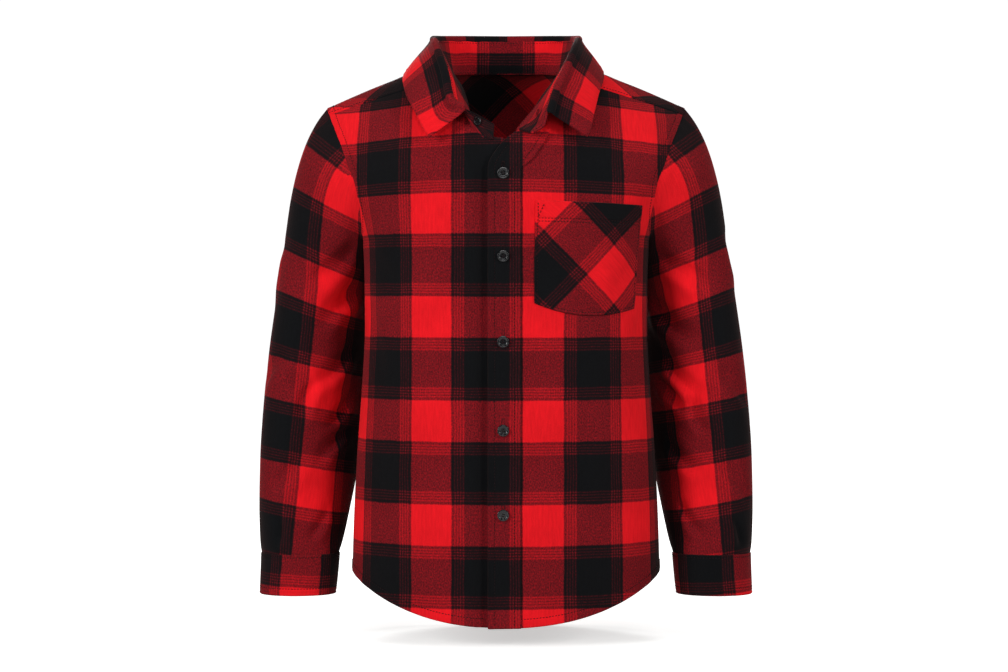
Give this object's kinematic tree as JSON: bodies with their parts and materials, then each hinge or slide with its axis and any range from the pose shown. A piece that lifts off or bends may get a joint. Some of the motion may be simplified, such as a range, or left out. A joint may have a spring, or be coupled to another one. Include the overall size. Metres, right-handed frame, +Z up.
{
  "type": "flannel shirt",
  "caption": "Child's long-sleeved button-front flannel shirt in a red and black check, filled out and hollow, with a turned-down collar, chest pocket and shirt-tail hem.",
  "frame": {"origin": "middle of the neck opening, level with the tops of the shoulders, where the wearer's shoulders hold the shirt up", "axes": "+Z up along the body; the front with its buttons faces -Y; the wearer's left, with the pocket, is +X"},
  "size_m": [0.4932, 0.2107, 0.598],
  "materials": {
    "flannel": "matt, brushed, red and black check",
    "button_resin": "gloss"
  },
  "bodies": {
    "root": {"front_right": "flannel", "front_left": "flannel", "back": "flannel", "yoke_outer": "flannel", "yoke_inner": "flannel", "collar_stand": "flannel", "collar_fall": "flannel", "placket_band": "flannel", "pocket": "flannel", "sleeve_left": "flannel", "sleeve_right": "flannel", "cuff_left": "flannel", "cuff_right": "flannel", "button_1": "button_resin", "button_2": "button_resin", "button_3": "button_resin", "button_4": "button_resin", "button_5": "button_resin", "button_collar": "button_resin", "button_cuff_left": "button_resin", "button_cuff_right": "button_resin"}
  },
  "joints": []
}
